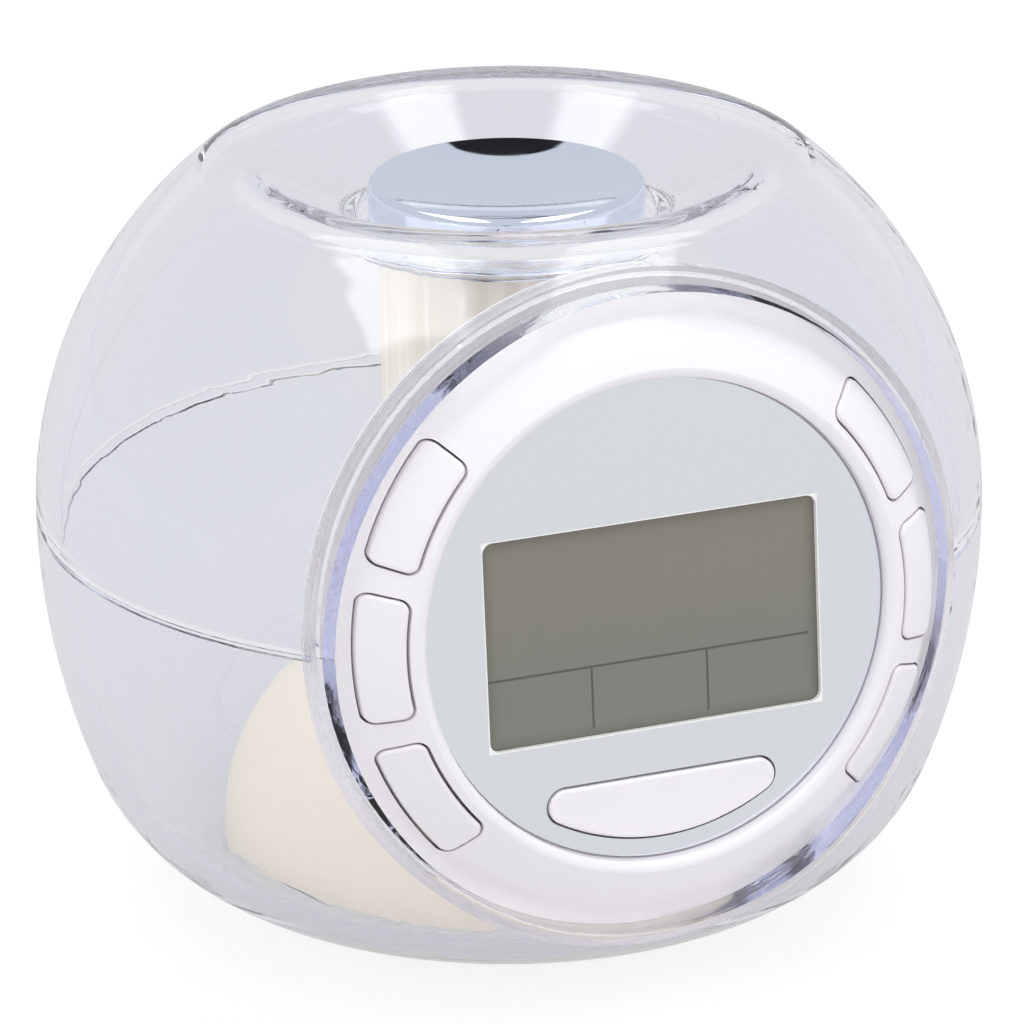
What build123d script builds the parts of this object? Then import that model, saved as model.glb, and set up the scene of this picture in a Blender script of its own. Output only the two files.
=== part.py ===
from build123d import *
import os
from math import acos, asin, atan2, cos, degrees, hypot, radians, sin, sqrt, tan

# Weather clock in a clear globe. Millimetres, +Z up, the dial looks towards -Y.
# The origin is on the globe's upright axis, in the plane that the clock stands on.

# Angles and shared clearances
full_turn = 360.0
half_turn = 180.0
right_angle = 90.0
overrun = 15.0            # how far a cut runs past what it cuts
sink = 0.5                # how far a boss or tongue runs into the wall that it grows from
fit_gap = 0.2             # between pieces that drop into each other
seat_gap = 0.05           # between a piece and the face that it rests on
key_gap = 0.25            # round a key, a button or a cover that moves

# Clear globe
globe_radius = 50.0       # at the seam
shell_wall = 2.6
upper_arc_radius = 47.5
crest_ring_radius = 28.6  # circle on which the edge of the funnel is highest
crest_round = 5.7
funnel_angle = 120.0      # round the crest, where the funnel's straight side starts
neck_bore_radius = 15.5
neck_length = 2.2
neck_round = 1.1
lower_arc_radius = 76.0
lower_arc_angle = 20.8    # below the seam, where the tighter foot curve starts
lower_round = 22.3
foot_flat_radius = 31.5
seam_gap = 0.08
tongue_height = 0.8
tongue_width = 0.8
tongue_inset = 0.1

# Foot
foot_height = 1.2
foot_ring_radius = 29.1
foot_ring_width = 1.7
plate_radius = 29.5
plate_flange_radius = 30.7
plate_thickness = 3.1

# Dome under the clear shell
dome_centre_radius = 9.65
dome_arc_radius = 21.65
dome_wall = 1.5
dome_seat_width = 1.7

# Dial, measured from the mirror's plane along the dial's axis, towards the viewer
dial_stand_out = 2.32     # of the mirror in front of the circle where bore and globe meet
dial_rise = 0.1           # of the dial's centre above the seam
dial_tilt = 4.9
flange_wall = 1.1
flange_end = -7.6
mirror_margin = 1.1       # of the mirror round the corners of the glass
mirror_thickness = 0.6
mirror_gap = 0.25
ring_edge_gap = 0.08      # between the ring's edge and the flange's bore
crest_width = 1.1
crest_inner_height = 1.1
crest_top_height = 1.68
ring_margin = 1.7         # of the flange's bore outside the keys
ring_edge_height = -4.4
ring_bulge = 0.6
bezel_floor_thickness = 1.4
bezel_floor_reach = 1.2   # of the flat floor past the keys' inner ends
bezel_skirt_wall = 1.4
bezel_skirt_start = -4.9
bezel_lip_reach = 0.8     # of the lip behind the flange's end
bezel_lip_thickness = 1.0

# Display
window_side_border = 1.6  # of the glass hidden beside the window
window_end_border = 1.55
window_centre = (-0.2, -0.5)
window_corner = 1.1
glass_width = 39.6
glass_height = 25.0
glass_thickness = 1.9
film_thickness = 0.2
film_inset = 0.6
lcd_frame_border = 1.5
lcd_frame_floor = 1.0
lcd_cavity_share = 0.78   # of the frame's opening, left free in front of the board
strip_width = 2.0
strip_inset = 1.2         # of a strip's outer side from the edge of the glass

# Keys
key_step_angle = 31.0
key_half_angle = 13.0
key_inset = 0.7           # of the keys' inner ends from the crest's top
key_length = 4.9
key_corner = 1.3
key_edge_round = 0.35
key_proud = 0.3
key_travel = 0.5
key_flange_thickness = 1.2
key_flange_reach = 0.7
key_flange_half_angle = 15.0
key_stem_radius = 1.2
key_stem_inset = 1.8
sound_margin = 2.05       # of the mirror outside the wide key
sound_gap = 1.15          # between the wide key's flange and the frame behind the glass
sound_corner = 1.8
sound_proud = 0.5
sound_flange_thickness = 0.8
sound_flange_reach = 0.8

# Dial electronics and back
board_face = -8.2
board_margin = 2.2        # of the flange's bore outside the board
board_thickness = 1.2
switch_length = 6.0
switch_width = 3.0
switch_body_height = 1.8
switch_button_radius = 0.8
press_slack = 0.05        # left between a stem and its switch when the key is down
post_inset = 0.5          # of the posts outside the keys' inner ends
post_angles = (60.0, 120.0, 240.0, 300.0)
post_radius = 2.0
post_depth = 1.2          # of a post's foot above the bezel's floor
chip_radius = 5.5
chip_height = 1.2
chip_place = (-12.0, -5.0)
crystal_radius = 1.0
crystal_length = 6.0
crystal_place = (9.0, 9.0)
sensor_radius = 0.9
sensor_height = 1.6
sensor_place = (12.0, -10.0)
connector_size = (8.0, 4.0, 2.6)
cover_flange_reach = 0.6  # past the board
cover_flange_thickness = 1.0
cover_flange_width = 2.5
cover_back_radius = 19.0
cover_depth = 4.8         # from the flange's face to the back wall
cover_wall = 1.4
cover_boss_radius = 2.3
cover_neck_radius = 6.0
cover_neck_bore = 4.4
spigot_radius = 4.8
spigot_bore = 3.4
spigot_length = 3.5
dial_screw_head = 1.75
dial_screw_head_height = 1.1
small_shank = 0.8
pilot_gap = 0.05
clearance_hole_gap = 0.2
screw_seat_depth = 0.8    # of a cover screw's seat below the outside

# Column
column_radius = 13.3
column_wall = 1.5
column_rise = 0.7         # of its top above the neck's end
collar_radius = 14.6
collar_height = 3.4
well_radius = 5.2
well_wall = 1.2
well_depth = 5.2
well_floor = 1.0
post_ring_radius = 9.1
column_post_radius = 1.65
pilot_depth = 5.0

# Snooze button
cap_radius = 14.5
cap_thickness = 1.5       # at the middle of the dish
cap_dish = 1.5
cap_rim_round = 0.9
cap_skirt_overlap = 0.2   # below the column's top
cap_skirt_wall = 0.9
cap_stop_gap = 0.5        # left under the cap when it is pressed
snooze_travel = 1.5
plunger_head_radius = 3.4
plunger_head_thickness = 1.0
plunger_radius = 2.5
plunger_running_gap = 0.1
plunger_tail = 0.9        # below the clip
clip_groove_depth = 0.5
clip_thickness = 0.5
clip_reach = 1.3
clip_gap = 0.3            # between the clip and the well's floor
snooze_spring_wire = 0.5
snooze_spring_radius = 4.3
snooze_spring_turns = 5
coil_steps = 8            # points on each turn of a spring
snooze_switch_side = 6.0
snooze_switch_height = 3.5
snooze_button_height = 1.15
snooze_button_radius = 1.75
snooze_board_radius = 11.3
tiny_head_radius = 1.6
tiny_head_height = 1.0
tiny_shank_length = 4.4

# Battery bay
cell_radius = 5.15
cell_length = 44.2
cell_pitch = 10.6
nub_length = 1.0
nub_radius = 2.2
contact_thickness = 0.3
contact_half_width = 2.4
spring_space = 1.8
contact_slack = 0.2
bay_side_gap = 0.3
bay_top_gap = 0.2
bay_corner = 3.0
bay_wall = 1.2
bay_lift = 0.3            # of the cells above the door
contact_wire = 0.45
contact_spring_outer = 3.2
contact_spring_turns = 2.5
door_thickness = 1.4
door_corner_gap = 0.25
tab_width = 5.0
tab_spacing = 20.0
tab_reach = 1.05
tab_thickness = 0.7
tab_height = 0.9          # of a tab's underside above the door's face
slot_below = 0.1
slot_above = 0.5
scoop_radius = 5.0
scoop_depth = 0.7

# Base screws and sound slots
base_screw_place = (10.0, 21.5)
base_head_radius = 2.1
base_head_height = 1.4
base_head_recess = 0.2
base_shank_radius = 1.2
base_shank_length = 9.0
base_boss_radius = 2.5
sound_slot_width = 1.2
sound_slot_length = 6.0
sound_slot_pitch = 3.2
sound_slot_offset = 22.0
slot_count = 3

# Speaker
speaker_radius = 14.0
speaker_rim_width = 1.6
speaker_seat_height = 0.8
speaker_rim_thickness = 1.0
basket_radius = 7.5
basket_rise = 1.4
basket_wall = 0.6
cone_radius = 12.2
cone_throat = 4.0
cone_rise = 0.6
cone_thickness = 0.25
magnet_radius = 5.0
magnet_height = 1.3
lead_radius = 0.6
speaker_lead_offset = 6.4
battery_lead_offset = 16.5

# Light board
light_board_radius = 19.5
light_board_thickness = 1.2
light_boss_circle = 17.0
light_boss_radius = 1.7
light_boss_pilot = 3.0
led_radius = 2.5
led_rim = 0.4
led_rim_height = 1.0
led_barrel = 5.0
led_circle = 6.0
led_angles = (90.0, 210.0, 330.0)
sound_chip_size = (4.0, 4.0, 1.2)
harness_radius = 1.0
harness_bend = 4.0
harness_offset = 8.5
snooze_wire_place = (-8.5, 4.0)
snooze_wire_radius = 0.7


def polar(centre, radius, angle):
    return (centre[0] + radius * cos(radians(angle)), centre[1] + radius * sin(radians(angle)))


def upright(point):
    return (point[0], 0, point[1])


def arc(centre, radius, start, end):
    middle = (start + end) / 2
    return ThreePointArc(*(upright(polar(centre, radius, a)) for a in (start, middle, end)))


def line(start, end):
    return Line(upright(start), upright(end))


def filled(*pieces):
    return make_face([edge for piece in pieces for edge in piece.edges()])


def turned(*edges):
    return revolve(filled(*edges), Axis.Z, full_turn)


def lathe(*points):
    return turned(Polyline(*(upright(p) for p in points), close=True))


def rod(radius, bottom, top, place=(0, 0)):
    return Pos(place[0], place[1], bottom) * Cylinder(
        radius, top - bottom, align=(Align.CENTER, Align.CENTER, Align.MIN)
    )


def tube(outer, inner, bottom, top):
    return rod(outer, bottom, top) - rod(inner, bottom - overrun, top + overrun)


def slab(width, depth, bottom, top, place=(0, 0), corner=0.0):
    outline = RectangleRounded(width, depth, corner) if corner else Rectangle(width, depth)
    return Pos(place[0], place[1], bottom) * extrude(outline, top - bottom)


def turned_copies(piece, angles):
    return [Rot(0, 0, angle) * piece for angle in angles]


# Places that follow from the sizes above
lower_centre = (globe_radius - lower_arc_radius, 0.0)
foot_centre = polar(lower_centre, lower_arc_radius - lower_round, -lower_arc_angle)
foot_arc_end = degrees(acos((foot_flat_radius - foot_centre[0]) / lower_round))
foot_depth = -polar(foot_centre, lower_round, -foot_arc_end)[1]
seam_z = foot_height + foot_depth
floor_top = foot_height + shell_wall
plate_top = foot_height + plate_thickness
crest_centre_height = sqrt(
    (upper_arc_radius - crest_round) ** 2 - (crest_ring_radius - globe_radius + upper_arc_radius) ** 2
)
funnel_start = polar((crest_ring_radius, crest_centre_height), crest_round, funnel_angle)
funnel_foot_height = funnel_start[1] + (funnel_start[0] - neck_bore_radius) / tan(radians(funnel_angle))
neck_end_height = funnel_foot_height - neck_length
upper_centre = (globe_radius - upper_arc_radius, seam_z)
crest_centre = (crest_ring_radius, seam_z + crest_centre_height)
crest_angle = degrees(atan2(crest_centre_height, crest_ring_radius - upper_centre[0]))
dome_centre = (dome_centre_radius, plate_top)
window_width = glass_width - window_side_border * 2
window_height = glass_height - window_end_border * 2
glass_corner_reach = hypot(glass_width / 2 - window_centre[0], glass_height / 2 - window_centre[1])
mirror_radius = glass_corner_reach + mirror_margin
sound_arc_radius = mirror_radius - sound_margin
lcd_frame_foot = window_centre[1] - glass_height / 2 - lcd_frame_border
sound_top = lcd_frame_foot - sound_gap - sound_flange_reach
sound_stem_depth = (sound_top - sound_arc_radius) / 2
crest_inner_radius = mirror_radius + mirror_gap
crest_top_radius = crest_inner_radius + crest_width
key_inner_radius = crest_top_radius + key_inset
key_outer_radius = key_inner_radius + key_length
key_stem_circle = key_inner_radius + key_stem_inset
post_circle = key_inner_radius + post_inset
bezel_underside_radius = key_inner_radius + bezel_floor_reach
flange_bore_radius = key_outer_radius + ring_margin
board_radius = flange_bore_radius - board_margin
cover_flange_radius = board_radius + cover_flange_reach
cover_cone_radius = cover_flange_radius - cover_flange_width
dial_distance = sqrt(globe_radius ** 2 - flange_bore_radius ** 2) + dial_stand_out
dial_frame = Plane(
    origin=(0, -dial_distance, seam_z + dial_rise),
    x_dir=(1, 0, 0),
    z_dir=(0, -cos(radians(dial_tilt)), sin(radians(dial_tilt))),
)
flange_radius = flange_bore_radius + flange_wall
bezel_lip_radius = flange_bore_radius + bezel_lip_reach
ring_edge_radius = flange_bore_radius - ring_edge_gap
bezel_face = -mirror_thickness - seat_gap
bezel_underside = bezel_face - bezel_floor_thickness
skirt_inner_radius = ring_edge_radius - bezel_skirt_wall
lip_front = flange_end - seat_gap - seat_gap
lip_back = lip_front - bezel_lip_thickness
board_back = board_face - board_thickness
switch_top = board_face + switch_body_height
glass_front = bezel_face - film_thickness
glass_back = glass_front - glass_thickness
film_back = glass_back - film_thickness
skirt_end = board_back - fit_gap
cover_face = skirt_end - seat_gap
cover_back = cover_face - cover_depth
neck_reach = (dial_distance - column_radius - fit_gap) / cos(radians(dial_tilt))
cover_neck_end = cover_neck_radius * tan(radians(dial_tilt)) - neck_reach
spigot_end = cover_neck_end - spigot_length
bay_half_length = (cell_length + spring_space + contact_slack) / 2 + contact_thickness
bay_half_width = cell_pitch + cell_radius + bay_side_gap
cell_z = foot_height + door_thickness + bay_lift + cell_radius
bay_ceiling = cell_z + cell_radius + bay_top_gap
bay_top = bay_ceiling + bay_wall
speaker_z = bay_top + speaker_seat_height
collar_top = dome_centre[1] + sqrt(
    (dome_arc_radius - dome_wall) ** 2
    - (column_radius + fit_gap + dome_seat_width - dome_centre_radius) ** 2
)
light_board_top = collar_top - seat_gap - collar_height
light_board_bottom = light_board_top - light_board_thickness
column_top_height = neck_end_height + column_rise
well_floor_height = column_top_height - well_depth
cap_skirt_end = column_top_height - cap_skirt_overlap
cap_underside_height = column_top_height + snooze_travel + cap_stop_gap
cap_top_height = cap_underside_height + cap_thickness + cap_dish
clip_top_height = well_floor_height - well_floor - clip_gap
plunger_end_height = clip_top_height - clip_thickness - plunger_tail
pressed_end_height = plunger_end_height - snooze_travel - press_slack
post_end_height = pressed_end_height - snooze_button_height - snooze_switch_height
tongue_radius = globe_radius - shell_wall + tongue_inset
key_angles = {
    "key_left_upper": half_turn - key_step_angle,
    "key_left_middle": half_turn,
    "key_left_lower": half_turn + key_step_angle,
    "key_right_upper": key_step_angle,
    "key_right_middle": 0.0,
    "key_right_lower": -key_step_angle,
}


def on_dial(piece):
    return dial_frame.location * piece


def globe_side(centre, radius, height):
    return degrees(asin((height - centre[1]) / radius))


def upper_side(inset):
    # One side of the upper wall, from the seam over the crest and down the funnel
    start = globe_side(upper_centre, upper_arc_radius - inset, seam_z + seam_gap)
    lean = radians(funnel_angle)
    crest_end = polar(crest_centre, crest_round - inset, funnel_angle)
    run = (crest_end[0] - neck_bore_radius - inset) / sin(lean)
    neck_top = (neck_bore_radius + inset, crest_end[1] + run * cos(lean))
    return [
        arc(upper_centre, upper_arc_radius - inset, start, crest_angle),
        arc(crest_centre, crest_round - inset, crest_angle, funnel_angle),
        line(crest_end, neck_top),
        line(neck_top, (neck_bore_radius + inset, seam_z + neck_end_height)),
    ]


def lower_side(inset, bottom):
    # One side of the lower wall, from the seam down to the height given
    centre_a = (lower_centre[0], seam_z)
    centre_b = (foot_centre[0], seam_z + foot_centre[1])
    end = globe_side(centre_b, lower_round - inset, bottom)
    return [
        arc(centre_a, lower_arc_radius - inset, 0, -lower_arc_angle),
        arc(centre_b, lower_round - inset, -lower_arc_angle, end),
    ]


def end_of(edges):
    point = edges[-1] @ 1
    return (point.X, point.Z)


def start_of(edges):
    point = edges[0] @ 0
    return (point.X, point.Z)


def with_dial_opening(body, void):
    # The body is hollowed but keeps half of the dial's flange, and the flange's bore is cut through
    flange = on_dial(rod(flange_radius, flange_end, overrun))
    return body - (void - flange) - on_dial(rod(flange_bore_radius, flange_end - sink, overrun))


def neck_corner(outline, radius):
    corner = outline.vertices().filter_by(lambda v: v.X < radius + sink and v.X > radius - sink / 2)
    return fillet(corner.sort_by(Axis.Z)[-1:], neck_round)


def make_upper_shell():
    outer, inner = upper_side(0), upper_side(shell_wall)
    foot, deep = seam_z + seam_gap, seam_z - overrun
    body = filled(
        *outer,
        line(end_of(outer), (neck_bore_radius, foot)),
        line((neck_bore_radius, foot), start_of(outer)),
    )
    centre = neck_bore_radius - sink
    void = filled(
        *inner,
        line(end_of(inner), (centre, end_of(inner)[1])),
        line((centre, end_of(inner)[1]), (centre, deep)),
        line((centre, deep), (start_of(inner)[0], deep)),
        line((start_of(inner)[0], deep), start_of(inner)),
    )
    body = revolve(neck_corner(body, neck_bore_radius), Axis.Z, full_turn)
    void = revolve(neck_corner(void, neck_bore_radius + shell_wall), Axis.Z, full_turn)
    shell = with_dial_opening(body, void)
    tongue = tube(tongue_radius + tongue_width, tongue_radius, seam_z - tongue_height, foot + sink)
    return shell + (tongue - on_dial(rod(flange_radius, flange_end, overrun)))


def make_lower_shell():
    outer, inner = lower_side(0, foot_height), lower_side(shell_wall, floor_top)
    hole, high = plate_radius + fit_gap, seam_z + overrun
    body = turned(
        *outer,
        line(end_of(outer), (hole, foot_height)),
        line((hole, foot_height), (hole, seam_z)),
        line((hole, seam_z), start_of(outer)),
    )
    void = turned(
        *inner,
        line(end_of(inner), (hole - sink, floor_top)),
        line((hole - sink, floor_top), (hole - sink, high)),
        line((hole - sink, high), (start_of(inner)[0], high)),
        line((start_of(inner)[0], high), start_of(inner)),
    )
    rebate_outer = tongue_radius + tongue_width + fit_gap / 2
    rebate = tube(rebate_outer, flange_radius, seam_z - tongue_height - fit_gap, high)
    shell = with_dial_opening(body, void)
    return shell - (rebate - on_dial(rod(flange_radius, flange_end, overrun)))


def dome_side(inset, top_radius):
    radius = dome_arc_radius - inset
    return arc(dome_centre, radius, 0, degrees(acos((top_radius - dome_centre_radius) / radius)))


def inside_dome(inset):
    # Everything under the dome's arc, drawn in by the inset
    side = dome_side(inset, dome_centre_radius)
    top = end_of([side])
    foot = start_of([side])
    return turned(
        side,
        line(top, (0, top[1])),
        line((0, top[1]), (0, foot_height - overrun)),
        line((0, foot_height - overrun), (foot[0], foot_height - overrun)),
        line((foot[0], foot_height - overrun), foot),
    )


def make_base_dome():
    hole = column_radius + fit_gap
    outer = dome_side(0, hole)
    inner = dome_side(dome_wall, hole + dome_seat_width)
    inner_top = end_of([inner])
    dome = turned(
        outer,
        line(end_of([outer]), (hole, inner_top[1])),
        line((hole, inner_top[1]), inner_top),
        inner,
        line(start_of([inner]), start_of([outer])),
    )
    filled = inside_dome(dome_wall / 2)
    place = base_screw_place
    for x in (-place[0], place[0]):
        for y in (-place[1], place[1]):
            dome += rod(base_boss_radius, plate_top, dome_centre[1] + dome_arc_radius, (x, y)) & filled
            hole_top = base_screw_head_top + base_shank_length + sink
            dome -= rod(base_shank_radius + pilot_gap, plate_top - sink, hole_top, (x, y))
    post = rod(light_boss_radius, light_board_top, dome_centre[1] + dome_arc_radius, (light_boss_circle, 0))
    pilot = rod(small_shank + pilot_gap, light_board_top - sink, light_board_top + light_boss_pilot,
                (light_boss_circle, 0))
    for boss, bore in zip(turned_copies(post & filled, led_angles), turned_copies(pilot, led_angles)):
        dome = (dome + boss) - bore
    return dome


base_screw_head_top = foot_height + base_head_recess + base_head_height


def bay_outline(gap):
    return ((bay_half_length + gap) * 2, (bay_half_width + gap) * 2)


def door_axis_y():
    return bay_half_width - door_corner_gap


def make_base_plate():
    plate = rod(plate_radius, foot_height, plate_top)
    plate += rod(plate_flange_radius, floor_top + seat_gap, plate_top)
    width, depth = bay_outline(bay_wall)
    tub = slab(width, depth, plate_top - sink, bay_top, corner=bay_corner + bay_wall)
    plate += tub & inside_dome(dome_wall + fit_gap + seat_gap)
    width, depth = bay_outline(0)
    bay = slab(width, depth, foot_height - sink, bay_ceiling, corner=bay_corner)
    plate -= bay & inside_dome(dome_wall + fit_gap + seat_gap + bay_wall)
    slot_bottom = foot_height + tab_height - slot_below
    slot_top = foot_height + tab_height + tab_thickness + slot_above
    for x in (-tab_spacing / 2, tab_spacing / 2):
        plate -= slab(
            tab_width + key_gap * 2, (tab_reach + key_gap) * 2, slot_bottom, slot_top, (x, bay_half_width)
        )
    for side in (-1, 1):
        for step in range(slot_count):
            x = (step - (slot_count - 1) / 2) * sound_slot_pitch
            plate -= slab(
                sound_slot_width, sound_slot_length, foot_height - sink, plate_top + sink,
                (x, side * sound_slot_offset),
            )
        for x in (-base_screw_place[0], base_screw_place[0]):
            place = (x, side * base_screw_place[1])
            plate -= rod(base_shank_radius + fit_gap, foot_height - sink, plate_top + sink, place)
            plate -= rod(base_head_radius + fit_gap, foot_height - sink, base_screw_head_top, place)
    seat = tube(speaker_radius, speaker_radius - speaker_rim_width, bay_top - sink, speaker_z)
    return plate + seat


def make_battery_door():
    width, depth = bay_outline(-door_corner_gap)
    door = slab(width, depth, foot_height, foot_height + door_thickness, corner=bay_corner - door_corner_gap)
    bottom = foot_height + tab_height
    for x in (-tab_spacing / 2, tab_spacing / 2):
        inner_y = door_axis_y() - tab_width / 2
        outer_y = door_axis_y() + tab_reach
        door += slab(
            tab_width, outer_y - inner_y, bottom, bottom + tab_thickness, (x, (inner_y + outer_y) / 2)
        )
    door -= Pos(0, -depth / 2, foot_height) * Cylinder(scoop_radius, scoop_depth * 2)
    return door


def make_ring_foot():
    return tube(foot_ring_radius, foot_ring_radius - foot_ring_width, 0, foot_height)


def make_base_screws():
    screws = []
    for x in (-base_screw_place[0], base_screw_place[0]):
        for y in (-base_screw_place[1], base_screw_place[1]):
            head = rod(base_head_radius, foot_height + base_head_recess, base_screw_head_top, (x, y))
            shank_top = base_screw_head_top + base_shank_length
            screws.append(head + rod(base_shank_radius, base_screw_head_top, shank_top, (x, y)))
    return screws


def slope_arc(proud):
    # Centre and radius of the ring's convex face, grown by what a key stands proud
    start, end = (crest_top_radius, crest_top_height), (ring_edge_radius, ring_edge_height)
    chord = hypot(end[0] - start[0], end[1] - start[1])
    radius = (chord ** 2 / 4 + ring_bulge ** 2) / (2 * ring_bulge)
    normal = ((start[1] - end[1]) / chord, (end[0] - start[0]) / chord)
    middle = ((start[0] + end[0]) / 2, (start[1] + end[1]) / 2)
    drop = radius - ring_bulge
    return (middle[0] - normal[0] * drop, middle[1] - normal[1] * drop), radius + proud


def slope_edge(proud, inner, outer):
    centre, radius = slope_arc(proud)
    angles = [degrees(acos((r - centre[0]) / radius)) for r in (inner, outer)]
    return arc(centre, radius, *angles)


def underside(drop, radius):
    # Height of the ring's back at a radius, lowered by the drop
    if radius <= bezel_underside_radius:
        return bezel_underside - drop
    share = (radius - bezel_underside_radius) / (skirt_inner_radius - bezel_underside_radius)
    return bezel_underside + share * (bezel_skirt_start - bezel_underside) - drop


def key_sector(gap, half_angle, reach, corner):
    inner = key_inner_radius + gap - reach
    outer = key_outer_radius - gap
    centre = (0.0, 0.0)
    spread = half_angle - degrees(gap / key_outer_radius)
    points = [polar(centre, r, a) for r, a in ((inner, spread), (outer, spread), (outer, -spread), (inner, -spread))]
    middle_in, middle_out = polar(centre, inner, 0), polar(centre, outer, 0)
    face = filled(
        Line(points[0], points[1]),
        ThreePointArc(points[1], middle_out, points[2]),
        Line(points[2], points[3]),
        ThreePointArc(points[3], middle_in, points[0]),
    )
    return fillet(face.vertices(), corner)


def make_key(angle):
    inner, outer = key_inner_radius + key_gap, key_outer_radius - key_gap
    reach_in = inner - key_flange_reach
    low = key_gap + key_flange_thickness
    top = slope_edge(key_proud, inner - sink, outer + sink)
    cap_fill = turned(
        top,
        line(end_of([top]), (outer + sink, underside(low, outer))),
        line((outer + sink, underside(low, outer)), (bezel_underside_radius, underside(low, inner))),
        line((bezel_underside_radius, underside(low, inner)), (inner - sink, underside(low, inner))),
        line((inner - sink, underside(low, inner)), start_of([top])),
    )
    cap = extrude(key_sector(key_gap, key_half_angle, 0, key_corner - key_gap), overrun, both=True) & cap_fill
    face = cap.faces().sort_by(Axis.Z)[-1]
    cap = fillet(face.edges(), key_edge_round)
    flange_fill = lathe(
        (reach_in - sink, underside(key_gap, inner)),
        (bezel_underside_radius, underside(key_gap, inner)),
        (outer + sink, underside(key_gap, outer + sink)),
        (outer + sink, underside(low, outer + sink)),
        (bezel_underside_radius, underside(low, inner)),
        (reach_in - sink, underside(low, inner)),
    )
    sector = key_sector(key_gap, key_flange_half_angle, key_flange_reach, key_corner - key_gap)
    flange = extrude(sector, overrun, both=True) & flange_fill
    stem_end = switch_button_top + key_travel + press_slack
    stem = rod(key_stem_radius, stem_end, underside(low, key_stem_circle) + sink, (key_stem_circle, 0))
    return on_dial(Rot(0, 0, angle) * (cap + flange + stem))


switch_button_top = board_face + switch_body_height + key_flange_reach


def sound_outline(grow):
    # A slice of a circle with a straight top and rounded ends
    radius = sound_arc_radius + grow
    top = sound_top + grow
    half_chord = sqrt(radius ** 2 - top ** 2)
    face = filled(
        Line((-half_chord, top), (half_chord, top)),
        ThreePointArc((half_chord, top), (0, -radius), (-half_chord, top)),
    )
    return fillet(face.vertices(), sound_corner + grow)


def prism(outline, bottom, top):
    return Pos(0, 0, bottom) * extrude(outline, top - bottom)


def make_sound_key():
    flange_top = bezel_underside - key_gap / 2
    flange_bottom = flange_top - sound_flange_thickness
    cap = prism(sound_outline(0), flange_bottom, sound_proud)
    cap = fillet(cap.faces().sort_by(Axis.Z)[-1].edges(), key_edge_round)
    flange = prism(sound_outline(sound_flange_reach), flange_bottom, flange_top)
    stem_end = switch_button_top + key_travel + press_slack
    stem = rod(key_stem_radius, stem_end, flange_bottom + sink, (0, sound_stem_depth))
    return on_dial(cap + flange + stem)


def display_slab(width, height, front, back, corner=0.0):
    return slab(width, height, back, front, window_centre, corner)


def make_dial_bezel():
    crest_middle = (
        (crest_inner_radius + crest_top_radius) / 2 - (crest_top_radius - crest_inner_radius) / 5,
        (crest_inner_height + crest_top_height) / 2 + (crest_top_height - crest_inner_height) / 4,
    )
    slope_centre, slope_radius = slope_arc(0)
    slope_start = degrees(atan2(crest_top_height - slope_centre[1], crest_top_radius - slope_centre[0]))
    slope_end = degrees(atan2(ring_edge_height - slope_centre[1], ring_edge_radius - slope_centre[0]))
    corners = [
        (ring_edge_radius, ring_edge_height),
        (ring_edge_radius, lip_front),
        (bezel_lip_radius, lip_front),
        (bezel_lip_radius, lip_back),
        (ring_edge_radius, lip_back),
        (ring_edge_radius, skirt_end),
        (skirt_inner_radius, skirt_end),
        (skirt_inner_radius, bezel_skirt_start),
        (bezel_underside_radius, bezel_underside),
        (0, bezel_underside),
        (0, bezel_face),
        (crest_inner_radius, bezel_face),
        (crest_inner_radius, crest_inner_height),
    ]
    bezel = turned(
        ThreePointArc(*(upright(p) for p in (corners[-1], crest_middle, (crest_top_radius, crest_top_height)))),
        arc(slope_centre, slope_radius, slope_start, slope_end),
        Polyline(*(upright(p) for p in corners)),
    )
    post_top = bezel_underside + post_depth
    post = rod(post_radius, board_face, post_top, (post_circle, 0))
    for boss in turned_copies(post, post_angles):
        bezel += boss
    pilot = rod(small_shank + pilot_gap, board_face - sink, bezel_underside - post_depth, (post_circle, 0))
    for bore in turned_copies(pilot, post_angles):
        bezel -= bore
    bezel -= display_slab(glass_width + fit_gap * 2, glass_height + fit_gap * 2, overrun, bezel_underside - sink)
    bezel -= prism(sound_outline(key_gap), bezel_underside - sink, overrun)
    opening = extrude(key_sector(0, key_half_angle, 0, key_corner), overrun)
    opening = Pos(0, 0, bezel_skirt_start - sink) * opening
    for cut in turned_copies(opening, key_angles.values()):
        bezel -= cut
    return on_dial(bezel)


def make_mirror_panel():
    panel = rod(mirror_radius, -mirror_thickness, 0)
    panel -= display_slab(window_width, window_height, sink, -mirror_thickness - sink, window_corner)
    panel -= prism(sound_outline(key_gap), -mirror_thickness - sink, sink)
    return on_dial(panel)


def make_lcd_layers():
    film_width, film_height = glass_width - film_inset * 2, glass_height - film_inset * 2
    strip_room = (strip_inset + strip_width + fit_gap) * 2
    return {
        "lcd_front_polarizer": on_dial(display_slab(film_width, film_height, bezel_face, glass_front)),
        "lcd_glass": on_dial(display_slab(glass_width, glass_height, glass_front, glass_back)),
        "lcd_rear_reflector": on_dial(
            display_slab(film_width, glass_height - strip_room, glass_back, film_back)
        ),
    }


def strip_slab(grow, front, back, side):
    offset = side * (glass_height / 2 - strip_inset - strip_width / 2)
    place = (window_centre[0], window_centre[1] + offset)
    return slab(
        glass_width - film_inset * 2 + grow * 2, strip_width + grow * 2, back, front, place
    )


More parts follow.
